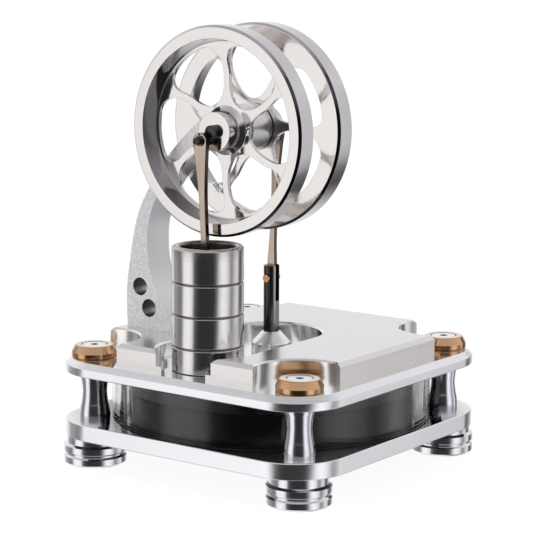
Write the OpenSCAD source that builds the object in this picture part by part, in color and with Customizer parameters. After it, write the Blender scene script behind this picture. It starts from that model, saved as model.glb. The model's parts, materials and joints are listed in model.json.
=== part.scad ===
// Low temperature difference stirling engine model with twin flywheels.
// Frame: +Z up, origin at the centre of the plane under the four feet.
// The crankshaft lies along Y and the power cylinder stands on the -Y side.

/* [Plates] */
// Side of the two square plates
plate_w = 98; // [97.4:0.1:98.6]
// Radius of the plates' corners
plate_corner_r = 16.5; // [15.5:0.1:17.5]
// Distance between two pillars along a side
pillar_pitch = 76; // [75.5:0.1:76.5]
// Thickness of the base plate
base_t = 5; // [4.5:0.1:5.2]
// Clear height between the plates
gap_h = 14.5; // [14.4:0.1:15]
// Thickness of the top plate
top_t = 4.2; // [4:0.1:4.4]
// Wide chamfer on the upper edge of the top plate
plate_chamfer = 1.7; // [1.5:0.1:1.8]

/* [Feet, pillars and caps] */
// Height of a foot
foot_h = 8.8; // [8.6:0.1:9.2]
// Radius of a foot at its rings
foot_r = 9.5; // [9.3:0.1:9.7]
// Radius of a pillar at its ends
pillar_r = 4.65; // [4.5:0.05:4.8]
// Radius of a pillar at its waist
waist_r = 3.75; // [3.6:0.05:3.9]
// Radius of a cap nut
cap_r = 6.9; // [6.8:0.05:7]
// Height of a cap nut
cap_h = 3.75; // [3.6:0.05:3.9]
// Radius of the shank of the pillar, foot and block screws
screw_r = 1.5; // [1.4:0.05:1.5]

/* [Displacer chamber] */
// Outer radius of the clear tube
tube_r = 48.4; // [48:0.1:48.6]
// Wall of the clear tube
tube_wall = 4.3; // [4.1:0.1:4.5]
// Thickness of a flat seal ring
seal_t = 0.3; // [0.2:0.05:0.4]
// Radius of the displacer disc
displacer_r = 43.3; // [42.5:0.1:43.4]
// Thickness of the displacer disc
displacer_t = 8.3; // [7.8:0.1:8.4]
// Rest height of the displacer above the base plate
displacer_lift = 1.1; // [1:0.05:1.2]
// Radius of the displacer rod
rod_r = 1.5; // [1.4:0.05:1.5]
// Radius of the clevis tube on the rod
clevis_r = 2.4; // [2.3:0.05:2.5]

/* [Cover block] */
// Side of the square cover block
block_w = 85.6; // [85:0.1:86]
// Height of the cover block
block_h = 6.2; // [6:0.1:6.4]
// Chamfer on the outer top edge of the block
block_chamfer = 1.2; // [0.8:0.1:1.4]
// Radius of the four corner pockets around the cap nuts
pocket_r = 13.75; // [13.5:0.05:14]
// Radius of the round ends of the centre slot
slot_r = 15.4; // [15.2:0.1:15.6]

/* [Power cylinder] */
// Distance from the displacer rod to the cylinder axis
cylinder_y = 31.2; // [31:0.1:31.4]
// Outer radius of the cylinder
cylinder_r = 10.55; // [10.4:0.05:10.7]
// Bore radius of the cylinder
bore_r = 8.3; // [8.3:0.01:8.35]
// Height of the cylinder
cylinder_h = 36.5; // [36.3:0.1:36.7]
// Radius of the power crank throw
power_throw = 3.5; // [3.3:0.1:3.5]

/* [Flywheels and shaft] */
// Height of the shaft axis above the ground plane
shaft_z = 101.9; // [101.5:0.1:102.3]
// Outer radius of a flywheel
wheel_r = 30.7; // [30.3:0.1:31]
// Width of a flywheel
wheel_w = 6.9; // [6.8:0.1:7]
// Inner radius of the rim at its open face
rim_face_r = 26.8; // [26.5:0.1:27.2]
// Inner radius of the rim at the web
rim_web_r = 25.9; // [25.7:0.1:26.1]
// Thickness of the spoked web
web_t = 1.3; // [1.2:0.1:1.6]
// Radius of the wheel hub
hub_r = 5.7; // [5.5:0.1:5.9]
// Radius of the crankshaft
shaft_r = 1.5; // [1.5:0.01:1.52]
// Radius of the displacer crank throw
displacer_throw = 2.8; // [2.6:0.1:2.8]
// Turn of the front wheel's spokes at rest
spoke_angle = 28; // [0:1:59]
// Turn of the rear wheel's spokes at rest
rear_spoke_angle = 56; // [0:1:59]

/* [Hidden] */

// Number of segments for turned shapes
$fn = 96;
// Small overlap that keeps cuts clean
eps = 0.01;
// Radial clearance of a running fit
run = 0.05;

// Heights of the stack, from the ground plane up
base_z = foot_h;
chamber_z = base_z + base_t;
top_z = chamber_z + gap_h;
deck_z = top_z + top_t;
block_z = deck_z + block_h;
half_pitch = pillar_pitch / 2;
half_plate = plate_w / 2;
half_block = block_w / 2;
// Pillar places, by the side of the engine they stand on
front_left = [-half_pitch, -half_pitch];
front_right = [half_pitch, -half_pitch];
rear_right = [half_pitch, half_pitch];
rear_left = [-half_pitch, half_pitch];
CORNERS = [front_left, front_right, rear_right, rear_left];

// Screws
screw_head_r = 2.75;
foot_recess = 1;
foot_head_t = 3;
foot_screw_end = chamber_z + 5.5;
cap_head_r = 3.85;
cap_head_t = 1.8;
cap_screw_end = top_z - 6;
socket_r = 1.25;
flat_head_r = 2.8;
flat_head_t = 1.5;
block_screw_at = 26;
block_screw_end = deck_z + 5;
cap_z = deck_z;
cap_top = cap_z + cap_h;
cap_top_r = 5.7;
cap_band = 1.6;
plate_edge = 0.25;

// Displacer and its rod
disc_z = chamber_z + displacer_lift;
disc_top = disc_z + displacer_t;
nut_af = 5;
nut_t = 2;
rod_z = disc_z + 0.6;
rod_top = 44;
clevis_z = 36.6;
clevis_top = 59.5;
clevis_pin_z = 55.4;
clevis_slot_z = 48.4;
clevis_slot_w = 1.8;
clevis_pin_r = 0.8;
clevis_head_r = 1.15;
clevis_head_t = 0.5;
gland_r = 6.05;
gland_cone_z = 35.6;
gland_top = 39;
gland_neck_r = 2.7;
gland_spigot_r = 4.5;
gland_spigot_z = top_z + 0.5;
bush_r = 3;
bush_top = 34;

// Power cylinder and piston
gasket_t = 0.2;
cyl_z = deck_z + gasket_t;
cyl_top = cyl_z + cylinder_h;
groove_d = 0.35;
groove_w = 0.8;
groove_first = 9;
groove_step = 9.45;
port_r = 2;
port_seat_r = 14.2;
port_seat_h = 1.4;
wrist_z = 50;
wrist_pin_r = 1;
piston_r = bore_r - run;
piston_z = 38.9;
piston_top = 56.5;
piston_floor = 40.9;
piston_cup_r = 7.65;
boss_gap = 1.2;
boss_r = 2.2;

// Shaft line, from front to rear along Y
wheel_front_y = -28.3;
wheel_front_back = wheel_front_y + wheel_w;
wheel_rear_y = -9;
wheel_rear_back = wheel_rear_y + wheel_w;
crank_t = 1.6;
crank_front_y = wheel_front_y - 0.2 - crank_t;
rear_crank_t = 1;
rear_crank_y = wheel_rear_back + 0.2;
shaft_end_y = rear_crank_y + rear_crank_t;
pin_r = 1;
power_angle = 225;
displacer_angle = 315;
power_pin = [power_throw * cos(power_angle), shaft_z + power_throw * sin(power_angle)];
displacer_pin = [displacer_throw * cos(displacer_angle),
                 shaft_z + displacer_throw * sin(displacer_angle)];
blade_t = 1.6;
thin_blade_t = 1.4;
rod_gap = 0.2;
power_blade_y = -cylinder_y;
set_screw_r = 1.2;
clip_r = 1.4;
clip_t = 0.4;
balance_r = 23.4;
balance_angle = 68;
balance_hole_r = 1.2;

// Bracket and bearings
bracket_y = -20.4;
bracket_back = -10;
boss_y = -20.9;
boss_back = -9.4;
boss_out_r = 7.05;
collar_r = 5.5;
collar_back = -18.7;
bearing_r = 4;
bearing_w = 3;
race_out_r = 3.2;
race_in_r = 2.1;
ball_path_r = 2.65;
ball_r = 0.5;
ball_n = 7;
bracket_hole_r = 2.75;
bracket_screw_y = (bracket_y + bracket_back) / 2;
bracket_screw_x = [-36.4, -26];
bracket_screw_end = 44.5;

// ---- helpers ----

// A plate with rounded corners: a fine chamfer e on the lower edge and c on the upper edge
module chamfered_plate(w, r, t, e, c) {
  profile = [[-w / 2 + e, 0], [-w / 2, e], [-w / 2, t - c], [-w / 2 + c, t],
             [w / 2 - c, t], [w / 2, t - c], [w / 2, e], [w / 2 - e, 0]];
  straight = w - 2 * r;
  for (turn = [0, 90])
    rotate([0, 0, turn])
      translate([0, straight / 2, 0])
        rotate([90, 0, 0])
          linear_extrude(straight)
            polygon(profile);
  for (x = [-1, 1], y = [-1, 1])
    translate([x * straight / 2, y * straight / 2, 0])
      rotate_extrude()
        polygon([[0, 0], [r - e, 0], [r, e], [r, t - c], [r - c, t], [0, t]]);
}

// A ring of rectangular section
module ring(r_out, r_in, h) {
  difference() {
    cylinder(r = r_out, h = h);
    translate([0, 0, -eps])
      cylinder(r = r_in, h = h + 2 * eps);
  }
}

// Extrudes an outline given in X and Z from y0 back to y1
module along_y(y0, y1) {
  translate([0, y1, 0])
    rotate([90, 0, 0])
      linear_extrude(y1 - y0)
        children();
}

// A cylinder along Y from y0 to y1 around the point at = [x, z]
module pin_y(at, r, y0, y1) {
  translate([at[0], y1, at[1]])
    rotate([90, 0, 0])
      cylinder(r = r, h = y1 - y0);
}

// Catmull-Rom curve: one point between p[1] and p[2]
function blend_point(p, t) =
  0.5 * (2 * p[1] + (p[2] - p[0]) * t + (2 * p[0] - 5 * p[1] + 4 * p[2] - p[3]) * t * t
         + (3 * p[1] - p[0] - 3 * p[2] + p[3]) * t * t * t);
// Smooth closed outline through the knots
function smooth_loop(knots, steps) =
  let (n = len(knots))
  [for (i = [0 : n - 1], s = [0 : steps - 1])
    blend_point([knots[(i + n - 1) % n], knots[i], knots[(i + 1) % n], knots[(i + 2) % n]],
                s / steps)];
// Smooth open line through the knots, ends included
function smooth_line(knots, steps) =
  let (n = len(knots))
  concat([for (i = [0 : n - 2], s = [0 : steps - 1])
    blend_point([knots[max(i - 1, 0)], knots[i], knots[i + 1], knots[min(i + 2, n - 1)]],
                s / steps)], [knots[n - 1]]);
// Polar knot [radius, angle] to a point
function polar(k) = [k[0] * cos(k[1]), k[0] * sin(k[1])];

// ---- feet, plates and pillars ----

module foot(at) {
  ring_h = 3;
  neck_r = foot_r - 1;
  bevel = 0.6;
  groove_h = 0.35;
  second = ring_h + groove_h;
  color("silver")
    translate([at[0], at[1], 0])
      difference() {
        rotate_extrude()
          polygon([[0, 0], [foot_r - bevel, 0], [foot_r, bevel], [foot_r, ring_h - bevel],
                   [foot_r - bevel, ring_h], [foot_r - bevel, second], [foot_r, second + bevel],
                   [foot_r, second + ring_h - bevel], [neck_r, second + ring_h],
                   [neck_r, foot_h], [0, foot_h]]);
        translate([0, 0, -eps])
          cylinder(r = screw_head_r + 0.25, h = foot_recess + foot_head_t + eps);
        cylinder(r = screw_r, h = foot_h + 1);
      }
}

module front_left_foot() { foot(front_left); }
module front_right_foot() { foot(front_right); }
module rear_right_foot() { foot(rear_right); }
module rear_left_foot() { foot(rear_left); }

module foot_screws() {
  color("dimgray")
    for (at = CORNERS)
      translate([at[0], at[1], foot_recess])
        difference() {
          union() {
            cylinder(r = screw_head_r, h = foot_head_t);
            cylinder(r = screw_r, h = foot_screw_end - foot_recess);
          }
          translate([0, 0, -eps])
            cylinder(r = socket_r, h = foot_head_t / 2, $fn = 6);
        }
}

module base_plate() {
  color("gainsboro")
    difference() {
      translate([0, 0, base_z])
        chamfered_plate(plate_w, plate_corner_r, base_t, plate_edge, plate_edge);
      for (at = CORNERS)
        translate([at[0], at[1], base_z - 1])
          cylinder(r = screw_r, h = base_t + 2);
    }
}

module top_plate() {
  color("gainsboro")
    difference() {
      translate([0, 0, top_z])
        chamfered_plate(plate_w, plate_corner_r, top_t, plate_edge, plate_chamfer);
      for (at = CORNERS)
        translate([at[0], at[1], top_z - 1])
          cylinder(r = screw_r, h = top_t + 2);
      translate([0, 0, top_z - 1])
        cylinder(r = bush_r, h = top_t + 2);
      translate([0, 0, gland_spigot_z])
        cylinder(r = gland_spigot_r, h = top_t);
      translate([0, -cylinder_y, top_z - 1])
        cylinder(r = port_r, h = top_t + 2);
      for (x = [-1, 1], y = [-1, 1])
        translate([x * block_screw_at, y * block_screw_at, 0])
          countersink();
      for (x = bracket_screw_x)
        translate([x, bracket_screw_y, 0])
          countersink();
    }
}

// Flat-head screw hole in the underside of the top plate
module countersink() {
  translate([0, 0, top_z])
    cylinder(r1 = flat_head_r, r2 = screw_r, h = flat_head_t);
  translate([0, 0, top_z - eps])
    cylinder(r = screw_r, h = top_t + 1);
}

// Flat-head screw from the underside of the top plate up to z_end
module flat_screw(z_end) {
  difference() {
    translate([0, 0, top_z])
      union() {
        cylinder(r1 = flat_head_r, r2 = screw_r, h = flat_head_t);
        cylinder(r = screw_r, h = z_end - top_z);
      }
    translate([0, 0, top_z - eps])
      cylinder(r = socket_r, h = 1, $fn = 6);
  }
}

module pillar(at) {
  flare = pillar_r - waist_r;
  side = smooth_line([[pillar_r, 0], [pillar_r - 0.04, gap_h * 0.12],
                      [waist_r + flare * 0.65, gap_h * 0.25], [waist_r + flare * 0.27, gap_h * 0.37],
                      [waist_r, gap_h * 0.56], [waist_r + flare * 0.33, gap_h * 0.76],
                      [waist_r + flare * 0.75, gap_h * 0.875], [pillar_r, gap_h]], 4);
  color("lightgray")
    translate([at[0], at[1], chamber_z])
      difference() {
        rotate_extrude()
          polygon(concat([[0, 0]], side, [[0, gap_h]]));
        translate([0, 0, -1])
          cylinder(r = screw_r, h = foot_screw_end - chamber_z + 1);
        translate([0, 0, cap_screw_end - chamber_z])
          cylinder(r = screw_r, h = gap_h);
      }
}

module front_left_pillar() { pillar(front_left); }
module front_right_pillar() { pillar(front_right); }
module rear_right_pillar() { pillar(rear_right); }
module rear_left_pillar() { pillar(rear_left); }

module cap_nuts() {
  color("peru")
    for (at = CORNERS)
      translate([at[0], at[1], cap_z])
        difference() {
          rotate_extrude()
            polygon([[0, 0], [cap_r - 0.35, 0], [cap_r, 0.35], [cap_r, cap_band],
                     [cap_top_r + 0.15, cap_h - 0.15], [cap_top_r - 0.15, cap_h], [0, cap_h]]);
          translate([0, 0, cap_h - cap_head_t])
            cylinder(r = cap_head_r + 0.1, h = cap_head_t + 1);
          translate([0, 0, -1])
            cylinder(r = screw_r, h = cap_h + 2);
        }
}

module cap_screws() {
  color("lightsteelblue")
    for (at = CORNERS)
      translate([at[0], at[1], 0])
        difference() {
          union() {
            translate([0, 0, cap_top - cap_head_t])
              rotate_extrude()
                polygon([[0, 0], [cap_head_r, 0], [cap_head_r, cap_head_t - 0.35],
                         [cap_head_r - 0.25, cap_head_t - 0.1], [0, cap_head_t - 0.1]]);
            translate([0, 0, cap_screw_end])
              cylinder(r = screw_r, h = cap_top - cap_head_t - cap_screw_end + eps);
          }
          translate([0, 0, cap_top - 1.3])
            cylinder(r = socket_r, h = 2, $fn = 6);
        }
}

// ---- displacer chamber ----

module lower_seal() {
  color("black")
    translate([0, 0, chamber_z])
      ring(tube_r - 0.2, tube_r - tube_wall + 0.2, seal_t);
}

module upper_seal() {
  color("black")
    translate([0, 0, top_z - seal_t])
      ring(tube_r - 0.2, tube_r - tube_wall + 0.2, seal_t);
}

module displacer_tube() {
  color("lightcyan", 0.4)
    translate([0, 0, chamber_z + seal_t])
      ring(tube_r, tube_r - tube_wall, gap_h - 2 * seal_t);
}

module displacer() {
  edge = 0.5;
  color("#151515")
    difference() {
      translate([0, 0, disc_z])
        rotate_extrude($fn = 180)
          polygon([[0, 0], [displacer_r - edge, 0], [displacer_r, edge],
                   [displacer_r, displacer_t - edge], [displacer_r - edge, displacer_t],
                   [0, displacer_t]]);
      translate([0, 0, rod_z])
        cylinder(r = rod_r, h = displacer_t);
      translate([0, 0, disc_top - nut_t])
        cylinder(r = nut_af / 2 / cos(30) + 0.1, h = nut_t + 1);
    }
}

module displacer_nut() {
  color("silver")
    difference() {
      translate([0, 0, disc_top - nut_t])
        cylinder(r = nut_af / 2 / cos(30), h = nut_t, $fn = 6);
      translate([0, 0, rod_z])
        cylinder(r = rod_r, h = displacer_t);
    }
}

module displacer_rod() {
  color("silver")
    translate([0, 0, rod_z])
      cylinder(r = rod_r, h = rod_top - rod_z);
}

module displacer_clevis() {
  color("gray")
    difference() {
      translate([0, 0, clevis_z])
        rotate_extrude()
          polygon([[0, 0], [clevis_r, 0], [clevis_r, clevis_top - clevis_z - 0.4],
                   [clevis_r - 0.4, clevis_top - clevis_z], [0, clevis_top - clevis_z]]);
      translate([0, 0, clevis_z - 1])
        cylinder(r = rod_r, h = rod_top - clevis_z + 1);
      translate([-clevis_r - 1, -clevis_slot_w / 2, clevis_slot_z])
        cube([2 * clevis_r + 2, clevis_slot_w, clevis_top]);
      pin_y([0, clevis_pin_z], clevis_pin_r, -clevis_r - 1, clevis_r + 1);
    }
}

// The pin's two ends in the clevis ears
module clevis_pin() {
  flat = 2.25;
  color("sienna")
    for (side = [0, 180])
      rotate([0, 0, side]) {
        pin_y([0, clevis_pin_z], clevis_pin_r, -flat, -clevis_slot_w / 2);
        pin_y([0, clevis_pin_z], clevis_head_r, -clevis_r - clevis_head_t, -clevis_r);
        pin_y([0, clevis_pin_z], clevis_pin_r, -clevis_r - eps, -flat + eps);
      }
}

module rod_gland() {
  color("silver")
    difference() {
      union() {
        translate([0, 0, deck_z])
          rotate_extrude()
            polygon([[0, 0], [gland_r, 0], [gland_r, gland_cone_z - deck_z],
                     [gland_neck_r, gland_top - deck_z], [0, gland_top - deck_z]]);
        translate([0, 0, gland_spigot_z])
          cylinder(r = gland_spigot_r, h = deck_z - gland_spigot_z + 1);
      }
      translate([0, 0, gland_spigot_z - 1])
        cylinder(r = bush_r, h = bush_top - gland_spigot_z + 1);
      translate([0, 0, bush_top - 1])
        cylinder(r = clevis_r + run, h = gland_top);
    }
}

module gland_bush() {
  color("goldenrod")
    translate([0, 0, top_z])
      ring(bush_r, rod_r + run, bush_top - top_z);
}

// ---- cover block ----

// Square block with a chamfered top edge
module chamfered_square() {
  h = block_h;
  c = block_chamfer;
  profile = [[-half_block, 0], [half_block, 0], [half_block, h - c], [half_block - c, h],
             [-half_block + c, h], [-half_block, h - c]];
  intersection() {
    translate([0, half_block, 0])
      rotate([90, 0, 0])
        linear_extrude(block_w)
          polygon(profile);
    rotate([0, 0, 90])
      translate([0, half_block, 0])
        rotate([90, 0, 0])
          linear_extrude(block_w)
            polygon(profile);
  }
}

// Round pocket with a small chamfer at its mouth
module pocket(r, z0, c) {
  translate([0, 0, z0])
    cylinder(r = r, h = block_h + 1);
  translate([0, 0, block_h - c])
    cylinder(r1 = r, r2 = r + c + eps, h = c + eps);
}

module cover_block() {
  edge = 0.5;
  color("whitesmoke")
    translate([0, 0, deck_z])
      difference() {
        chamfered_square();
        for (at = CORNERS)
          translate([at[0], at[1], 0])
            pocket(pocket_r, -1, edge);
        pocket(slot_r, -1, edge);
        translate([0, -cylinder_y, 0]) {
          pocket(slot_r, port_seat_h, edge);
          translate([0, 0, -1])
            cylinder(r = port_seat_r, h = port_seat_h + 2);
        }
        translate([-port_seat_r, -cylinder_y, -1])
          cube([2 * port_seat_r, cylinder_y, block_h + 2]);
        translate([-slot_r, -cylinder_y, port_seat_h])
          cube([2 * slot_r, cylinder_y, block_h]);
        translate([0, 0, block_h])
          rotate([90, 0, 0])
            linear_extrude(cylinder_y)
              polygon([[-slot_r - edge, eps], [-slot_r, -edge], [slot_r, -edge],
                       [slot_r + edge, eps]]);
        for (x = [-1, 1], y = [-1, 1])
          translate([x * block_screw_at, y * block_screw_at, -1])
            cylinder(r = screw_r, h = block_screw_end - deck_z + 1);
        for (x = bracket_screw_x)
          translate([x, bracket_screw_y, -1])
            cylinder(r = screw_r, h = block_h + 2);
      }
}

module block_screws() {
  color("dimgray")
    for (x = [-1, 1], y = [-1, 1])
      translate([x * block_screw_at, y * block_screw_at, 0])
        flat_screw(block_screw_end);
}

// ---- power cylinder, piston and connecting rod ----

module power_cylinder() {
  edge = 0.6;
  v = groove_w / 2;
  h = cylinder_h;
  grooves = [for (i = [2 : -1 : 0]) h - groove_first - i * groove_step - 1.4];
  side = [for (g = grooves) each [[cylinder_r, g - v], [cylinder_r - groove_d, g - v / 2],
                                  [cylinder_r - groove_d, g + v / 2], [cylinder_r, g + v]]];
  outline = concat([[bore_r, 0], [cylinder_r, 0]], side,
                   [[cylinder_r, h - edge], [cylinder_r - edge, h], [bore_r + edge, h],
                    [bore_r, h - edge]]);
  color("silver")
    translate([0, -cylinder_y, cyl_z])
      rotate_extrude()
        polygon(outline);
}

module cylinder_gasket() {
  color("black")
    translate([0, -cylinder_y, deck_z])
      ring(cylinder_r - 0.3, bore_r + 0.3, gasket_t);
}

module power_piston() {
  color("slategray")
    translate([0, -cylinder_y, 0])
      difference() {
        union() {
          difference() {
            translate([0, 0, piston_z])
              cylinder(r = piston_r, h = piston_top - piston_z);
            translate([0, 0, piston_floor])
              cylinder(r = piston_cup_r, h = piston_top);
          }
          for (y = [-piston_cup_r - 0.2, boss_gap])
            pin_y([0, wrist_z], boss_r, y, y + piston_cup_r + 0.2 - boss_gap);
        }
        pin_y([0, wrist_z], wrist_pin_r, -piston_cup_r, piston_cup_r);
      }
}

// The wrist pin's two ends in the piston bosses
module wrist_pin() {
  color("silver")
    for (y = [-piston_cup_r, boss_gap])
      translate([0, -cylinder_y, 0])
        pin_y([0, wrist_z], wrist_pin_r, y, y + piston_cup_r - boss_gap);
}

// Flat connecting rod from a split head at the crank pin down to a small eye.
// The outline runs along the rod, so it leans with the line between its ends.
module conrod_outline(head, foot, head_w, waist_w, foot_w, eye_r, taper) {
  reach = norm(head - foot);
  lean = atan2(head[0] - foot[0], head[1] - foot[1]);
  right = smooth_line([[head_w / 2, reach - 1.2], [head_w / 2 - 0.35, reach - 3.4],
                       [waist_w / 2 + 0.25, reach - taper * 0.62], [waist_w / 2, reach - taper],
                       [waist_w / 2 + 0.05, 12], [foot_w / 2, 4.6], [eye_r * 0.75, 0]], 6);
  left = [for (i = [len(right) - 1 : -1 : 0]) [-right[i][0], right[i][1]]];
  crown = [for (a = [180 : -10 : 0]) [head_w / 2 * cos(a), reach - 0.15 + head_w / 2 * sin(a)]];
  translate(foot)
    rotate(-lean)
      polygon(concat(right, left, crown));
}

// Cuts the slit above the crank pin of a split head
module head_slit(head, foot, y0, y1) {
  lean = atan2(head[0] - foot[0], head[1] - foot[1]);
  translate([head[0], y0, head[1]])
    rotate([0, lean, 0])
      translate([-0.2, -1, 0])
        cube([0.4, y1 - y0 + 2, 4]);
}

bush_wall = 0.5;
power_foot = [0, wrist_z];
displacer_foot = [0, clevis_pin_z];

module power_conrod() {
  y0 = power_blade_y - blade_t / 2;
  y1 = power_blade_y + blade_t / 2;
  color("tan")
    difference() {
      union() {
        along_y(y0, y1)
          conrod_outline(power_pin, power_foot, 4.9, 2, 2.1, 1.6, 21);
        pin_y(power_foot, 1.6, y0, y1);
      }
      pin_y(power_pin, pin_r + bush_wall, y0 - 1, y1 + 1);
      pin_y(power_foot, wrist_pin_r, y0 - 1, y1 + 1);
      head_slit(power_pin, power_foot, y0, y1);
    }
}

// Bush on the crank pin and bush in the small eye
module power_conrod_bushes() {
  y0 = power_blade_y - blade_t / 2;
  y1 = power_blade_y + blade_t / 2;
  color("goldenrod") {
    difference() {
      pin_y(power_pin, pin_r + bush_wall, y0, y1);
      pin_y(power_pin, pin_r + run, y0 - 1, y1 + 1);
    }
    difference() {
      pin_y(power_foot, wrist_pin_r, y0, y1);
      pin_y(power_foot, wrist_pin_r - 0.4, y0 - 1, y1 + 1);
    }
  }
}

module displacer_conrod() {
  y0 = -thin_blade_t / 2;
  y1 = thin_blade_t / 2;
  color("tan")
    difference() {
      union() {
        along_y(y0, y1)
          conrod_outline(displacer_pin, displacer_foot, 4.4, 1.8, 2.7, 1.45, 20);
        pin_y(displacer_foot, 1.45, y0, y1);
      }
      pin_y(displacer_pin, pin_r + bush_wall, y0 - 1, y1 + 1);
      pin_y(displacer_foot, clevis_pin_r, y0 - 1, y1 + 1);
      head_slit(displacer_pin, displacer_foot, y0, y1);
    }
}

module displacer_conrod_bushes() {
  y0 = -thin_blade_t / 2;
  y1 = thin_blade_t / 2;
  color("goldenrod") {
    difference() {
      pin_y(displacer_pin, pin_r + bush_wall, y0, y1);
      pin_y(displacer_pin, pin_r + run, y0 - 1, y1 + 1);
    }
    difference() {
      pin_y(displacer_foot, clevis_pin_r, y0, y1);
      pin_y(displacer_foot, clevis_pin_r - 0.35, y0 - 1, y1 + 1);
    }
  }
}

// ---- bracket and bearings ----

module bracket_outline() {
  outer = smooth_line([[-39.8, block_z], [-40.1, 47.5], [-39.2, 57], [-36.1, 72], [-31.6, 81.4],
                       [-24.2, 91.8], [-15.7, 100.4], [-8, 106], [-1, shaft_z + boss_out_r - 0.1]], 6);
  inner = smooth_line([[-1, shaft_z - boss_out_r + 0.1], [-8.4, 97.7], [-18.5, 91.6], [-27, 81.6],
                       [-31, 73], [-31.9, 66], [-31.2, 58.7], [-28.8, 51.6], [-25.4, 46.3],
                       [-22.4, 42.6], [-22.4, block_z]], 6);
  polygon(concat(outer, inner));
}

module bracket() {
  color("darkgray")
    difference() {
      union() {
        along_y(bracket_y, bracket_back)
          bracket_outline();
        pin_y([0, shaft_z], boss_out_r, collar_back, boss_back);
        pin_y([0, shaft_z], collar_r, boss_y, collar_back + eps);
      }
      pin_y([0, shaft_z], bearing_r, boss_y - 1, boss_back + 1);
      pin_y([-34.8, 51.6], bracket_hole_r, bracket_y - 1, bracket_back + 1);
      pin_y([-31.3, 45.3], bracket_hole_r, bracket_y - 1, bracket_back + 1);
      for (x = bracket_screw_x)
        translate([x, bracket_screw_y, block_z - 1])
          cylinder(r = screw_r, h = bracket_screw_end - block_z + 1);
    }
}

module bracket_screws() {
  color("dimgray")
    for (x = bracket_screw_x)
      translate([x, bracket_screw_y, 0])
        flat_screw(bracket_screw_end);
}

// Places a bearing part along the shaft, its front face at y
module on_shaft(y) {
  translate([0, y + bearing_w, shaft_z])
    rotate([90, 0, 0])
      children();
}

// One bearing ring with its ball groove
module race(r_in, r_out) {
  rotate_extrude()
    difference() {
      translate([r_in, 0])
        square([r_out - r_in, bearing_w]);
      translate([ball_path_r, bearing_w / 2])
        circle(r = ball_r + 0.1, $fn = 32);
    }
}

module balls() {
  for (i = [0 : ball_n - 1])
    rotate([0, 0, i * 360 / ball_n])
      translate([ball_path_r, 0, bearing_w / 2])
        sphere(r = ball_r, $fn = 32);
}

front_bearing_y = boss_y;
rear_bearing_y = boss_back - bearing_w;

module front_bearing_outer() { color("silver") on_shaft(front_bearing_y) race(race_out_r, bearing_r); }
module front_bearing_inner() { color("silver") on_shaft(front_bearing_y) race(shaft_r, race_in_r); }
module front_bearing_balls() { color("white") on_shaft(front_bearing_y) balls(); }
module rear_bearing_outer() { color("silver") on_shaft(rear_bearing_y) race(race_out_r, bearing_r); }
module rear_bearing_inner() { color("silver") on_shaft(rear_bearing_y) race(shaft_r, race_in_r); }
module rear_bearing_balls() { color("white") on_shaft(rear_bearing_y) balls(); }

// ---- shaft, flywheels and cranks ----

module crankshaft() {
  color("dimgray")
    pin_y([0, shaft_z], shaft_r, crank_front_y, shaft_end_y);
}

// One opening between two spokes: radius and angle of each knot
OPENING = [[25, 20], [25.15, 36], [25, 50], [23.8, 58.5], [20.8, 61], [16.7, 57.8],
           [12.3, 55], [9.3, 46.5], [8.4, 31], [9.3, 14.5], [13.1, 5.5], [18.6, 6], [22.2, 10.5]];

// A flywheel lying on its web side: the web starts at 0, the open face is at wheel_w
module flywheel() {
  edge = 0.7;
  hub_flare = 1.6;
  opening = smooth_loop([for (k = OPENING) polar(k)], 5);
  difference() {
    union() {
      rotate_extrude($fn = 180)
        polygon([[rim_web_r - 3, 0], [wheel_r - edge, 0], [wheel_r, edge],
                 [wheel_r, wheel_w - edge], [wheel_r - edge, wheel_w], [rim_face_r, wheel_w],
                 [rim_web_r, web_t], [rim_web_r - 3, web_t]]);
      cylinder(r = rim_web_r - 2, h = web_t);
      cylinder(r = hub_r, h = wheel_w);
      translate([0, 0, web_t])
        cylinder(r1 = hub_r + hub_flare, r2 = hub_r, h = hub_flare * 0.7);
    }
    for (i = [0 : 5])
      rotate([0, 0, i * 60])
        translate([0, 0, -1])
          linear_extrude(web_t + 2)
            polygon(opening);
    translate([0, 0, -1])
      cylinder(r = shaft_r, h = wheel_w + 2);
    translate([0, 0, web_t + (wheel_w - web_t) / 2])
      rotate([0, -90, 0])
        cylinder(r = set_screw_r, h = hub_r + 1);
  }
}

module front_flywheel() {
  color("lightgray")
    translate([0, wheel_front_back, shaft_z])
      rotate([90, 0, 0])
        rotate([0, 0, spoke_angle])
          flywheel();
}

// The rear wheel is the same part turned round, with a small balance hole at a spoke's foot
module rear_flywheel() {
  color("lightgray")
    translate([0, wheel_rear_y, shaft_z])
      rotate([-90, 0, 0])
        rotate([0, 0, rear_spoke_angle])
          difference() {
            flywheel();
            rotate([0, 0, balance_angle])
              translate([balance_r, 0, -1])
                cylinder(r = balance_hole_r, h = web_t + 2);
          }
}

// Hub set screws, one in each wheel, following the spokes' turn
module hub_set_screws() {
  mid = web_t + (wheel_w - web_t) / 2;
  long = hub_r - shaft_r - 0.4;
  color("dimgray") {
    translate([0, wheel_front_back, shaft_z])
      rotate([90, 0, 0])
        rotate([0, 0, spoke_angle])
          set_screw(mid, long);
    translate([0, wheel_rear_y, shaft_z])
      rotate([-90, 0, 0])
        rotate([0, 0, rear_spoke_angle])
          set_screw(mid, long);
  }
}

module set_screw(z, long) {
  translate([-shaft_r, 0, z])
    rotate([0, -90, 0])
      difference() {
        cylinder(r = set_screw_r, h = long);
        translate([0, 0, long - 1])
          cylinder(r = set_screw_r / 2, h = 2, $fn = 6);
      }
}

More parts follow.
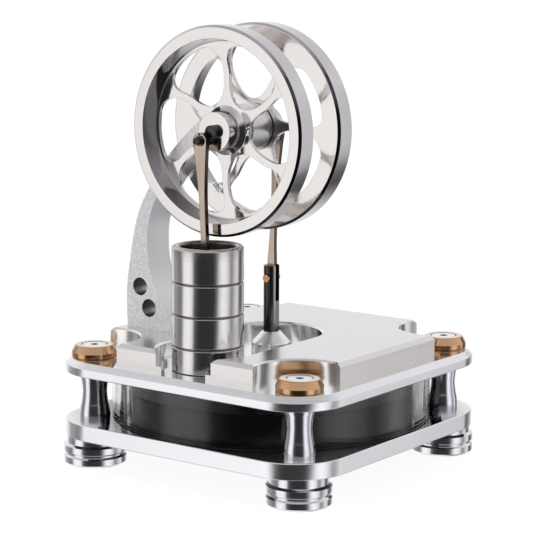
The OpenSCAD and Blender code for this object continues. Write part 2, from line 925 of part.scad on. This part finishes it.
// Two-lobed web from the shaft to a crank pin
module crank_web(at, shaft_lobe, pin_lobe, y0, y1) {
  away = (at - [0, shaft_z]) / norm(at - [0, shaft_z]);
  side = [away[1], -away[0]];
  neck = 0.8;
  difference() {
    along_y(y0, y1) {
      translate([0, shaft_z])
        circle(r = shaft_lobe);
      translate(at)
        circle(r = pin_lobe);
      polygon([[0, shaft_z] + side * shaft_lobe * neck, at + side * pin_lobe * neck,
               at - side * pin_lobe * neck, [0, shaft_z] - side * shaft_lobe * neck]);
    }
    pin_y([0, shaft_z], shaft_r, y0 - 1, y1 + 1);
  }
}

front_pin_end = power_blade_y - blade_t / 2 - rod_gap - clip_t - 1.1;
rear_pin_end = thin_blade_t / 2 + rod_gap + clip_t + 0.4;

module front_crank() {
  color("#303030") {
    crank_web(power_pin, 2, 1.6, crank_front_y, crank_front_y + crank_t);
    pin_y(power_pin, pin_r, front_pin_end, crank_front_y + eps);
  }
}

module rear_crank() {
  color("#303030") {
    crank_web(displacer_pin, 2.2, 1.8, rear_crank_y, rear_crank_y + rear_crank_t);
    pin_y(displacer_pin, pin_r, rear_crank_y + rear_crank_t - eps, rear_pin_end);
  }
}

module crank_pin_clips() {
  front_clip = power_blade_y - blade_t / 2 - rod_gap;
  rear_clip = thin_blade_t / 2 + rod_gap;
  color("silver") {
    difference() {
      pin_y(power_pin, clip_r, front_clip - clip_t, front_clip);
      pin_y(power_pin, pin_r, front_clip - 1, front_clip + 1);
    }
    difference() {
      pin_y(displacer_pin, clip_r, rear_clip, rear_clip + clip_t);
      pin_y(displacer_pin, pin_r, rear_clip - 1, rear_clip + 1);
    }
  }
}

front_left_foot();
front_right_foot();
rear_right_foot();
rear_left_foot();
foot_screws();
base_plate();
lower_seal();
displacer_tube();
upper_seal();
front_left_pillar();
front_right_pillar();
rear_right_pillar();
rear_left_pillar();
top_plate();
cap_nuts();
cap_screws();
cover_block();
block_screws();
power_cylinder();
cylinder_gasket();
power_piston();
wrist_pin();
power_conrod();
power_conrod_bushes();
bracket();
bracket_screws();
front_bearing_outer();
front_bearing_inner();
front_bearing_balls();
rear_bearing_outer();
rear_bearing_inner();
rear_bearing_balls();
crankshaft();
front_flywheel();
rear_flywheel();
hub_set_screws();
front_crank();
rear_crank();
crank_pin_clips();
displacer();
displacer_nut();
displacer_rod();
displacer_clevis();
clevis_pin();
displacer_conrod();
displacer_conrod_bushes();
rod_gland();
gland_bush();
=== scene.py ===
import json
import math

import bmesh
import bpy
from mathutils import Matrix, Vector


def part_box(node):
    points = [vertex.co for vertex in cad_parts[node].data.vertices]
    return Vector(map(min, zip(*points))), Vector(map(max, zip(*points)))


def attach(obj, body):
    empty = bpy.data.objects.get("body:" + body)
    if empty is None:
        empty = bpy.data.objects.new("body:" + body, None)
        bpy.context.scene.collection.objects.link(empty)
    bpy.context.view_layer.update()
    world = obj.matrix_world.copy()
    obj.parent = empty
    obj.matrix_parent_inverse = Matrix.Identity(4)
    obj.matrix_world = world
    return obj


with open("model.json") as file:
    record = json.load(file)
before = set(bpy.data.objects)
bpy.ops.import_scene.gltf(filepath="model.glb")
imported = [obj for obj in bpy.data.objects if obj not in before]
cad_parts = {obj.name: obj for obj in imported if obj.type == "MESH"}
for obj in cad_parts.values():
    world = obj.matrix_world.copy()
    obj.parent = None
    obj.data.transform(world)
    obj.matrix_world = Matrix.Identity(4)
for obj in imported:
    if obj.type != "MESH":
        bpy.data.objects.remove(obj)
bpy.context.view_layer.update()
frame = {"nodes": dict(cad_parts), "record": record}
NODES = frame["nodes"]
scene = bpy.context.scene

# ---------------------------------------------------------------- places on the engine, in metres
SHAFT_Z = 0.1019
CYLINDER_Y = -0.0312
BARREL_R = 0.0112             # anything turned outside this, about the cylinder's axis, is the rod gland
GROOVE_R = (0.0098, 0.01044)  # between the bottom of a groove and the barrel's skin
MOUTH_DEPTH = 0.005           # no groove is nearer the cylinder's mouth than this
MOUTH_BAND = (0.0030, 0.0038)
WHEEL_SKIN_R = 0.0297         # the outer chamfer of a wheel starts here
# radii of the rim's inner wall, which gets a painted dark reflection
RIM_WALL_PAINTED_R = (0.0256, 0.0272)
BLOCK_OUTSIDE = 0.0414        # half the cover block's width, just inside its faces
LOWER_PLATE_TOP = 0.0145      # above the lower plate's top face, below the upper plate
LINKAGE_Z = 0.05              # bronze above this height belongs to the linkage
# bracket holes whose walls get painted shade and highlight
BRACKET_HOLES = ((-0.0348, 0.0516), (-0.0313, 0.0453))
BRACKET_HOLE_R = 0.00275
HOLE_WALL_R = 0.0029

# ---------------------------------------------------------------- camera
AZIMUTH = math.radians(36.54)
ELEVATION = math.radians(9.68)
ROLL = math.radians(0.27)
DISTANCE = 0.63325
TARGET = Vector((-0.0019, 0.0, 0.0585))
SENSOR = 36.0
FOCAL_PX = 2088.0
IMAGE_PX = 533.0


def make_camera():
    back = Vector((math.sin(AZIMUTH) * math.cos(ELEVATION),
                   -math.cos(AZIMUTH) * math.cos(ELEVATION), math.sin(ELEVATION)))
    side = Vector((math.cos(AZIMUTH), math.sin(AZIMUTH), 0.0))
    up = back.cross(side)
    right = side * math.cos(ROLL) + up * math.sin(ROLL)
    top = -side * math.sin(ROLL) + up * math.cos(ROLL)
    data = bpy.data.cameras.new("camera")
    data.sensor_width = SENSOR
    data.lens = SENSOR * FOCAL_PX / IMAGE_PX
    data.clip_start = 0.01
    data.clip_end = 50
    cam = bpy.data.objects.new("camera", data)
    scene.collection.objects.link(cam)
    cam.matrix_world = Matrix.Translation(TARGET + back * DISTANCE) @ Matrix(
        (right, top, back)).transposed().to_4x4()
    scene.camera = cam


make_camera()
scene.view_settings.view_transform = "Standard"
scene.view_settings.look = "None"


# ---------------------------------------------------------------- node helpers
class Graph:
    """Short names for the nodes that the materials below are made of."""

    def __init__(self, tree):
        self.tree = tree
        self.coords = None

    def node(self, kind, **props):
        n = self.tree.nodes.new(kind)
        for key, value in props.items():
            setattr(n, key, value)
        return n

    def feed(self, socket, value):
        if isinstance(value, bpy.types.NodeSocket):
            self.tree.links.new(value, socket)
        else:
            socket.default_value = value

    def coord(self, which="Object"):
        if self.coords is None:
            self.coords = self.node("ShaderNodeTexCoord")
        return self.coords.outputs[which]

    def place(self):
        return self.split(self.coord())

    def normal(self):
        return self.split(self.coord("Normal"))

    def math(self, op, a, b=0.0):
        n = self.node("ShaderNodeMath", operation=op)
        self.feed(n.inputs[0], a)
        self.feed(n.inputs[1], b)
        return n.outputs[0]

    def times(self, a, b):
        return self.math("MULTIPLY", a, b)

    def minus(self, a, b):
        return self.math("SUBTRACT", a, b)

    def over(self, a, limit):
        return self.math("GREATER_THAN", a, limit)

    def under(self, a, limit):
        return self.math("LESS_THAN", a, limit)

    def size(self, a):
        return self.math("ABSOLUTE", a)

    def invert(self, a):
        return self.minus(1.0, a)

    def between(self, a, limits):
        return self.times(self.over(a, limits[0]), self.under(a, limits[1]))

    def hypot(self, a, b):
        return self.math("SQRT", self.math("ADD", self.times(a, a), self.times(b, b)))

    def split(self, vector):
        n = self.node("ShaderNodeSeparateXYZ")
        self.feed(n.inputs[0], vector)
        return n.outputs

    def join(self, x, y, z):
        n = self.node("ShaderNodeCombineXYZ")
        for socket, value in zip(n.inputs, (x, y, z)):
            self.feed(socket, value)
        return n.outputs[0]

    def scaled(self, vector, scale):
        n = self.node("ShaderNodeVectorMath", operation="MULTIPLY")
        self.feed(n.inputs[0], vector)
        n.inputs[1].default_value = scale
        return n.outputs[0]

    def noise(self, vector, scale, detail=2.0, rough=0.5):
        n = self.node("ShaderNodeTexNoise")
        self.feed(n.inputs["Vector"], vector)
        n.inputs["Scale"].default_value = scale
        n.inputs["Detail"].default_value = detail
        n.inputs["Roughness"].default_value = rough
        return n.outputs["Fac"]

    def cloud(self, scale=60.0):
        """Slow changes over a piece."""
        return self.noise(self.coord(), scale, 3.0)

    def grain(self, across, fine=5200.0):
        """Noise drawn out into lines that cross the axis given, as turning or brushing leaves them."""
        scale = {"x": (fine, 40, 40), "y": (40, fine, 40), "z": (40, 40, fine)}[across]
        return self.noise(self.scaled(self.coord(), scale), 1.0, 3.0, 0.6)

    def ramp(self, fac, stops):
        n = self.node("ShaderNodeValToRGB")
        el = n.color_ramp.elements
        while len(el) < len(stops):
            el.new(0.5)
        for e, (pos, value) in zip(el, stops):
            e.position = pos
            if isinstance(value, (int, float)):
                value = (value, value, value)
            e.color = (*value, 1.0)
        self.feed(n.inputs[0], fac)
        return n.outputs["Color"]

    def tone(self, fac, low, high):
        """A noise's middle range spread between two tones."""
        return self.ramp(fac, [(0.3, low), (0.7, high)])

    def mix(self, fac, a, b):
        n = self.node("ShaderNodeMix", data_type="RGBA")
        self.feed(n.inputs[0], fac)
        for socket, value in ((n.inputs[6], a), (n.inputs[7], b)):
            if isinstance(value, tuple):
                value = (*value, 1.0)
            self.feed(socket, value)
        return n.outputs[2]

    def blend(self, fac, a, b):
        n = self.node("ShaderNodeMix", data_type="FLOAT")
        self.feed(n.inputs[0], fac)
        self.feed(n.inputs[2], a)
        self.feed(n.inputs[3], b)
        return n.outputs[0]

    def bump(self, height, strength, distance=0.00002):
        n = self.node("ShaderNodeBump")
        n.inputs["Strength"].default_value = strength
        n.inputs["Distance"].default_value = distance
        self.feed(n.inputs["Height"], height)
        return n.outputs[0]


def material(name, metallic=1.0):
    m = bpy.data.materials.new(name)
    m.use_nodes = True
    m.node_tree.nodes.clear()
    g = Graph(m.node_tree)
    shader = g.node("ShaderNodeBsdfPrincipled")
    out = g.node("ShaderNodeOutputMaterial")
    m.node_tree.links.new(shader.outputs[0], out.inputs[0])
    shader.inputs["Metallic"].default_value = metallic
    return m, g, shader.inputs


def finish(g, s, color, rough, normal):
    g.feed(s["Base Color"], color)
    g.feed(s["Roughness"], rough)
    g.feed(s["Normal"], normal)


def metal(name, color, rough, across="z", depth=0.15):
    """Metal with fine lines, and slow changes of tone and polish."""
    vary = 0.06
    spread = 0.06
    m, g, s = material(name)
    fine = g.grain(across)
    fac = g.blend(0.4, fine, g.cloud())
    low = tuple(c * (1 - vary) for c in color)
    high = tuple(min(1.0, c * (1 + vary)) for c in color)
    finish(g, s, g.tone(fac, low, high),
           g.blend(fac, max(0.02, rough - spread), rough + spread), g.bump(fine, depth))
    return m


def coated(name, color, rough, grit=900.0, depth=0.1, shine=0.5):
    """Black oxide, rubber or gloss plastic with a fine uneven surface."""
    m, g, s = material(name, 0.0)
    fleck = g.noise(g.coord(), grit, 3.0)
    slow = g.noise(g.coord(), 70.0, 2.0)
    low = tuple(c * 0.7 for c in color)
    high = tuple(c * 1.35 for c in color)
    s["Specular IOR Level"].default_value = shine
    finish(g, s, g.tone(g.blend(0.5, fleck, slow), low, high),
           g.blend(fleck, rough * 0.8, rough * 1.2), g.bump(fleck, depth))
    return m


# ---------------------------------------------------------------- materials
def plate_material():
    """Polished faces, and edges brushed along their length."""
    m, g, s = material("plate_steel")
    x, y, z = g.place()
    nz = g.normal()[2]
    flat = g.over(g.size(nz), 0.9)
    fine = g.grain("z")
    slow = g.cloud(45.0)
    edge = g.tone(g.blend(0.4, fine, slow), (0.83, 0.82, 0.86), (0.93, 0.92, 0.96))
    face = g.tone(slow, (0.90, 0.90, 0.905), (0.95, 0.95, 0.955))
    # painted dark reflection: the lower plate's top darkens towards the chamber; painted shade: the
    # undersides are black
    near = g.ramp(g.times(g.hypot(x, y), 10.0), [(0.50, 1.0), (0.64, 0.0)])
    painted_reflection_near_chamber = g.times(g.under(z, LOWER_PLATE_TOP), near)
    face = g.mix(painted_reflection_near_chamber, face, (0.22, 0.22, 0.23))
    # painted shade: faces that point down are nearly black
    color = g.mix(g.under(nz, -0.9), g.mix(flat, edge, face), (0.05, 0.05, 0.055))
    rough = g.blend(flat, g.blend(fine, 0.13, 0.26), g.blend(slow, 0.05, 0.11))
    finish(g, s, color, rough, g.bump(g.times(fine, g.invert(flat)), 0.18))
    return m


def block_material():
    """Satin top, sides brushed along their length, polished pocket walls."""
    m, g, s = material("block_aluminium")
    x, y, z = g.place()
    top = g.over(g.normal()[2], 0.9)
    outside = g.over(g.math("MAXIMUM", g.size(x), g.size(y)), BLOCK_OUTSIDE)
    wall = g.times(g.invert(top), g.invert(outside))
    fine = g.grain("z")
    slow = g.cloud(40.0)
    fleck = g.noise(g.coord(), 2600.0, 2.0)
    side = g.tone(g.blend(0.35, fine, slow), (0.77, 0.74, 0.73), (0.84, 0.815, 0.81))
    face = g.tone(g.blend(0.6, fleck, slow), (0.71, 0.705, 0.735), (0.77, 0.765, 0.80))
    polished = (0.88, 0.87, 0.86)
    rough = g.blend(top, g.blend(fine, 0.20, 0.34), g.blend(fleck, 0.20, 0.30))
    height = g.times(g.blend(top, fine, fleck), g.invert(wall))
    finish(g, s, g.mix(wall, g.mix(top, side, face), polished), g.blend(wall, rough, 0.13),
           g.bump(height, 0.1))
    return m


def painted_hole_shade(g, x, z, hole, tone):
    """The wall of a round hole, with painted shade on the side away from the shaft and a painted highlight
    beside it.
    """
    dx = g.minus(x, hole[0])
    dz = g.minus(z, hole[1])
    inside = g.under(g.hypot(dx, dz), HOLE_WALL_R)
    across = g.math("DIVIDE", g.minus(dx, g.times(dz, 0.4)), BRACKET_HOLE_R)
    wall = g.ramp(g.math("ADD", g.times(across, 0.5), 0.5),
                  [(0.04, (0.10, 0.10, 0.105)), (0.22, (0.55, 0.545, 0.56)), (0.5, (0.40, 0.395, 0.41))])
    return g.mix(inside, tone, wall)


def bracket_material():
    """Grit-blasted front and back, smooth milled edges."""
    m, g, s = material("bracket_aluminium")
    x, y, z = g.place()
    blasted = g.over(g.size(g.normal()[1]), 0.9)
    pits = g.noise(g.coord(), 3400.0, 4.0, 0.75)
    # painted glints: small white flecks in the blasted faces' colour
    sparkle = g.node("ShaderNodeTexVoronoi")
    g.feed(sparkle.inputs["Vector"], g.coord())
    sparkle.inputs["Scale"].default_value = 4200.0
    glint = g.over(g.split(sparkle.outputs["Color"])[0], 0.9)
    fine = g.grain("y", 4200.0)
    grit = g.ramp(pits, [(0.36, (0.56, 0.555, 0.56)), (0.60, (0.93, 0.91, 0.93))])
    grit = g.mix(glint, grit, (1.0, 1.0, 1.0))
    milled = g.tone(g.blend(0.5, fine, g.cloud(50.0)), (0.62, 0.605, 0.625), (0.74, 0.725, 0.745))
    # painted shade and highlight on the walls of the bracket's holes
    for hole in BRACKET_HOLES:
        milled = painted_hole_shade(g, x, z, hole, milled)
    rough = g.blend(blasted, g.blend(fine, 0.22, 0.36), g.blend(pits, 0.36, 0.52))
    height = g.blend(blasted, g.times(fine, 0.1), pits)
    finish(g, s, g.mix(blasted, milled, grit), rough, g.bump(height, 0.45, 0.00004))
    return m


def wheel_material():
    """Faces turned in fine circles about the shaft, brighter than the rim's polished outside."""
    m, g, s = material("wheel_aluminium")
    x, y, z = g.place()
    up = g.minus(z, SHAFT_Z)
    radius = g.hypot(x, up)
    steep = g.size(g.normal()[1])
    face = g.over(steep, 0.9)
    slant = g.times(g.over(steep, 0.3), g.invert(face))
    # painted dark reflections: the outer chamfer is dark on the lower right, and the rim's inner wall is
    # darker all round
    around = g.math("DIVIDE", g.minus(g.times(x, 0.85), g.times(up, 0.5)), radius)
    painted_chamfer_reflection = g.ramp(around, [(0.1, 0.0), (0.45, 1.0)])
    dark = g.times(g.times(slant, g.over(radius, WHEEL_SKIN_R)), painted_chamfer_reflection)
    wall = g.times(g.between(radius, RIM_WALL_PAINTED_R), g.under(steep, 0.3))
    rings = g.noise(g.join(g.times(radius, 4200.0), g.times(x, 25.0), g.times(z, 25.0)), 1.0, 3.0, 0.6)
    lines = g.grain("y", 4200.0)
    slow = g.cloud(55.0)
    face_tone = g.tone(g.blend(0.4, rings, slow), (0.74, 0.705, 0.69), (0.80, 0.765, 0.75))
    rim_tone = g.tone(g.blend(0.4, lines, slow), (0.58, 0.56, 0.585), (0.67, 0.65, 0.68))
    # painted dark reflection on the rim's inner wall
    tone = g.mix(wall, g.mix(face, rim_tone, face_tone), (0.40, 0.39, 0.41))
    rough = g.blend(face, g.blend(lines, 0.08, 0.15), g.blend(rings, 0.07, 0.13))
    # painted dark reflection on the lower right of the outer chamfer
    finish(g, s, g.mix(dark, tone, (0.06, 0.058, 0.062)), rough, g.bump(g.blend(face, lines, rings), 0.05))
    return m


def turned_material():
    """Turned steel, with painted shade in the grooves and a straw-brown satin band at the cylinder's
    mouth.
    """
    m, g, s = material("turned_steel")
    x, y, z = g.place()
    radius = g.hypot(x, g.minus(y, CYLINDER_Y))
    down = g.minus(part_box("power_cylinder")[1].z, z)
    fine = g.grain("z")
    barrel = g.under(radius, BARREL_R)
    band = g.times(barrel, g.ramp(down, [(MOUTH_BAND[0], 1.0), (MOUTH_BAND[1], 0.0)]))
    # painted shade: the grooves are darkened
    groove = g.times(g.between(radius, GROOVE_R), g.over(down, MOUTH_DEPTH))
    tone = g.tone(g.blend(0.4, fine, g.cloud()), (0.70, 0.675, 0.69), (0.80, 0.775, 0.79))
    tone = g.mix(groove, g.mix(band, tone, (0.60, 0.545, 0.53)), (0.20, 0.185, 0.19))
    rough = g.blend(band, g.blend(fine, 0.07, 0.17), g.blend(fine, 0.20, 0.32))
    finish(g, s, g.mix(barrel, (0.90, 0.895, 0.91), tone), g.blend(barrel, 0.2, rough), g.bump(fine, 0.14))
    return m


def bronze_material():
    """Turned bronze, paler on faces that point up, darker on the linkage."""
    m, g, s = material("bronze")
    fine = g.grain("z")
    tone = g.tone(g.blend(0.4, fine, g.cloud()), (0.575, 0.345, 0.19), (0.67, 0.41, 0.24))
    tone = g.mix(g.over(g.normal()[2], 0.95), tone, (0.74, 0.57, 0.47))
    tone = g.mix(g.over(g.place()[2], LINKAGE_Z), tone, (0.50, 0.24, 0.12))
    finish(g, s, tone, g.blend(fine, 0.07, 0.15), g.bump(fine, 0.16))
    return m


def shaft_material():
    """Dark ground steel, nearly black on its end faces."""
    m, g, s = material("shaft_steel")
    fine = g.grain("y")
    tone = g.tone(g.blend(0.4, fine, g.cloud()), (0.28, 0.275, 0.27), (0.36, 0.355, 0.35))
    ends = g.over(g.size(g.normal()[1]), 0.8)
    finish(g, s, g.mix(ends, tone, (0.06, 0.06, 0.06)), g.blend(fine, 0.08, 0.18), g.bump(fine, 0.12))
    return m


def conrod_material():
    """Flat faces brushed along the rod, and near-black edges."""
    m, g, s = material("conrod_brass")
    face = g.over(g.size(g.normal()[1]), 0.7)
    fine = g.grain("x", 4200.0)
    tone = g.tone(g.blend(0.45, fine, g.cloud(160.0)), (0.42, 0.335, 0.275), (0.55, 0.45, 0.375))
    finish(g, s, g.mix(face, (0.10, 0.085, 0.075), tone), g.blend(fine, 0.16, 0.28), g.bump(fine, 0.12))
    return m


def clear_material():
    m, g, s = material("clear_tube", 0.0)
    haze = g.cloud(120.0)
    g.feed(s["Base Color"], g.tone(haze, (0.93, 0.95, 0.95), (0.98, 0.99, 0.99)))
    g.feed(s["Roughness"], g.blend(haze, 0.0, 0.03))
    s["IOR"].default_value = 1.4
    s["Transmission Weight"].default_value = 1.0
    return m


SLOTS = {
    "plate_steel": plate_material(),
    "foot_steel": metal("foot_steel", (0.82, 0.81, 0.86), 0.11, "z", 0.16),
    "pillar_steel": metal("pillar_steel", (0.79, 0.78, 0.84), 0.10, "z", 0.16),
    "turned_steel": turned_material(),
    "block_aluminium": block_material(),
    "bracket_aluminium": bracket_material(),
    "wheel_aluminium": wheel_material(),
    "bronze": bronze_material(),
    "conrod_brass": conrod_material(),
    "bright_steel": metal("bright_steel", (0.78, 0.80, 0.84), 0.14, "z", 0.12),
    "black_steel": coated("black_steel", (0.010, 0.010, 0.012), 0.3),
    "shaft_steel": shaft_material(),
    "bearing_steel": metal("bearing_steel", (0.78, 0.78, 0.79), 0.12, "y", 0.12),
    "piston_graphite": metal("piston_graphite", (0.42, 0.42, 0.44), 0.25, "z", 0.2),
    "clear_tube": clear_material(),
    "black_seal": coated("black_seal", (0.02, 0.02, 0.02), 0.6, 1500.0, 0.2),
    "displacer_black": coated("displacer_black", (0.004, 0.004, 0.006), 0.2, 400.0, 0.04, 0.12),
}

slot_of = {p["node"]: p["material_slot"] for p in frame["record"]["subparts"]}
for node, obj in NODES.items():
    mats = obj.data.materials
    mat = SLOTS[slot_of[node]]
    if len(mats):
        for i in range(len(mats)):
            mats[i] = mat
    else:
        mats.append(mat)


# ---------------------------------------------------------------- broken edges
# The width of the fine chamfer that each of these pieces has on its edges, in metres
SOFT = {
    "front_flywheel": 0.00012, "rear_flywheel": 0.00012, "cover_block": 0.0003,
    "bracket": 0.0001, "power_cylinder": 0.0001, "power_conrod": 0.0001,
    "displacer_conrod": 0.0001, "front_crank": 0.00012, "rear_crank": 0.0001,
    "rod_gland": 0.00012, "displacer_clevis": 0.0001, "crankshaft": 0.00015,
    "displacer_nut": 0.0001, "base_plate": 0.0001, "top_plate": 0.0001,
}
SAME_PLACE = 0.000002
SHARP = math.radians(35)


def soften(obj, width):
    for p in obj.data.polygons:
        p.use_smooth = True
    weld = obj.modifiers.new("weld", "WELD")
    weld.merge_threshold = SAME_PLACE
    bevel = obj.modifiers.new("bevel", "BEVEL")
    bevel.width = width
    bevel.segments = 2
    bevel.limit_method = "ANGLE"
    bevel.angle_limit = SHARP
    even = obj.modifiers.new("even", "WEIGHTED_NORMAL")
    even.mode = "FACE_AREA"
    even.weight = 100


for node, width in SOFT.items():
    soften(NODES[node], width)


# ---------------------------------------------------------------- pieces made here
TURN_STEPS = 64
SHIELD_DEPTH = 0.00036
SHIELD = [(0.00215, 0.0), (0.00318, 0.0), (0.00318, 0.00012), (0.00305, 0.00026),
          (0.00228, 0.00026), (0.00215, 0.00012)]


def turned(name, outline, centre, axis, body, slot):
    """A solid of revolution. The outline is a closed loop of (radius, height along the axis)."""
    bm = bmesh.new()
    loops = []
    for i in range(TURN_STEPS):
        a = 2 * math.pi * i / TURN_STEPS
        loops.append([bm.verts.new((r * math.cos(a), r * math.sin(a), h)) for r, h in outline])
    n = len(outline)
    for i in range(TURN_STEPS):
        one, two = loops[i], loops[(i + 1) % TURN_STEPS]
        for k in range(n):
            bm.faces.new((one[k], two[k], two[(k + 1) % n], one[(k + 1) % n]))
    bmesh.ops.recalc_face_normals(bm, faces=bm.faces)
    mesh = bpy.data.meshes.new(name)
    bm.to_mesh(mesh)
    bm.free()
    turn = Vector((0, 0, 1)).rotation_difference(Vector(axis)).to_matrix().to_4x4()
    mesh.transform(Matrix.Translation(centre) @ turn)
    for p in mesh.polygons:
        p.use_smooth = True
    obj = bpy.data.objects.new(name, mesh)
    scene.collection.objects.link(obj)
    mesh.materials.append(SLOTS[slot])
    bevel = obj.modifiers.new("bevel", "BEVEL")
    bevel.width = 0.00004
    bevel.segments = 2
    bevel.limit_method = "ANGLE"
    bevel.harden_normals = True
    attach(obj, body)


def bearing_shields():
    """The thin ring that closes each bearing's visible side, between its two rings."""
    low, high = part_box("front_bearing_outer")
    z = (low.z + high.z) / 2
    front = Vector((0, low.y + SHIELD_DEPTH, z))
    rear = Vector((0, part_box("rear_bearing_outer")[1].y - SHIELD_DEPTH, z))
    turned("front_bearing_shield", SHIELD, front, (0, -1, 0), "frame", "bright_steel")
    turned("rear_bearing_shield", SHIELD, rear, (0, 1, 0), "frame", "bright_steel")


bearing_shields()


# ---------------------------------------------------------------- floor, surround and light
FLOOR_HALF = 6.0
FLOOR_Z = -0.0001


def floor():
    bm = bmesh.new()
    for x, y in ((-1, -1), (1, -1), (1, 1), (-1, 1)):
        bm.verts.new((x * FLOOR_HALF, y * FLOOR_HALF, FLOOR_Z))
    bm.faces.new(bm.verts)
    mesh = bpy.data.meshes.new("floor")
    bm.to_mesh(mesh)
    bm.free()
    obj = bpy.data.objects.new("floor", mesh)
    scene.collection.objects.link(obj)
    m = bpy.data.materials.new("floor")
    m.use_nodes = True
    tree = m.node_tree
    tree.nodes.clear()
    g = Graph(tree)
    diffuse = g.node("ShaderNodeBsdfDiffuse")
    g.feed(diffuse.inputs["Color"], g.tone(g.cloud(900.0), 0.955, 0.97))
    glow = g.node("ShaderNodeEmission")
    glow.inputs["Strength"].default_value = 1.02
    mixed = g.node("ShaderNodeMixShader")
    mixed.inputs[0].default_value = 0.93
    out = g.node("ShaderNodeOutputMaterial")
    tree.links.new(diffuse.outputs[0], mixed.inputs[1])
    tree.links.new(glow.outputs[0], mixed.inputs[2])
    tree.links.new(mixed.outputs[0], out.inputs[0])
    mesh.materials.append(m)
    obj.visible_glossy = False
    obj.visible_transmission = False


floor()


def linear(v):
    v = v / 255.0
    return v / 12.92 if v <= 0.04045 else ((v + 0.055) / 1.055) ** 2.4


# How bright the studio is, by the angle in degrees around from the photo's side of the engine.
# Soft boxes stand at both sides, a dark flag in front, greys between them.
SURROUND = [
    (-180, 240), (-152, 238), (-138, 214), (-131, 160), (-112, 148), (-100, 120), (-88, 150),
    (-81, 244), (-62, 255), (-50, 232), (-43, 104), (-33, 64), (-20, 48), (0, 50), (20, 54),
    (28, 98), (33, 155), (40, 222), (50, 255), (62, 242), (72, 208), (80, 140), (90, 172),
    (102, 224), (112, 216), (120, 112), (130, 84), (140, 150), (155, 214), (168, 236), (180, 240),
]
SURROUND_GAIN = 1.12


def surround():
    """White to the eye, and banded light and dark where the metal mirrors it."""
    world = bpy.data.worlds.new("studio")
    scene.world = world
    world.use_nodes = True
    tree = world.node_tree
    tree.nodes.clear()
    g = Graph(tree)
    x, y, z = g.split(g.coord("Generated"))
    angle = g.minus(g.math("ARCTAN2", x, g.times(y, -1.0)), AZIMUTH)
    angle = g.math("WRAP", angle, math.pi)
    angle.node.inputs[2].default_value = -math.pi
    fac = g.math("ADD", g.math("DIVIDE", angle, 2 * math.pi), 0.5)
    around = g.ramp(fac, [((a + 180) / 360, linear(v) * SURROUND_GAIN) for a, v in SURROUND])
    above = g.ramp(z, [(0.0, 0.75), (0.35, 0.95), (0.6, 0.8), (0.85, 0.55), (1.0, 0.5)])
    high = g.ramp(z, [(0.18, 0.0), (0.42, 1.0)])
    path = g.node("ShaderNodeLightPath")
    mirrored = g.over(path.outputs["Glossy Depth"], 0.5)
    back = g.node("ShaderNodeBackground")
    g.feed(back.inputs["Color"], g.mix(mirrored, (1.0, 1.0, 1.0), g.mix(high, around, above)))
    out = g.node("ShaderNodeOutputWorld")
    tree.links.new(back.outputs[0], out.inputs[0])


surround()


def area_light(name, where, size, power):
    data = bpy.data.lights.new(name, "AREA")
    data.shape = "RECTANGLE"
    data.size = size
    data.size_y = size
    data.energy = power
    obj = bpy.data.objects.new(name, data)
    scene.collection.objects.link(obj)
    obj.location = where
    obj.rotation_euler = (TARGET - obj.location).to_track_quat("-Z", "Y").to_euler()
    obj.visible_glossy = False
    obj.visible_camera = False


area_light("key", Vector((-0.7, -0.6, 1.1)), 0.8, 3.0)
area_light("fill", Vector((1.0, 0.2, 0.9)), 0.9, 1.5)

bpy.context.view_layer.update()
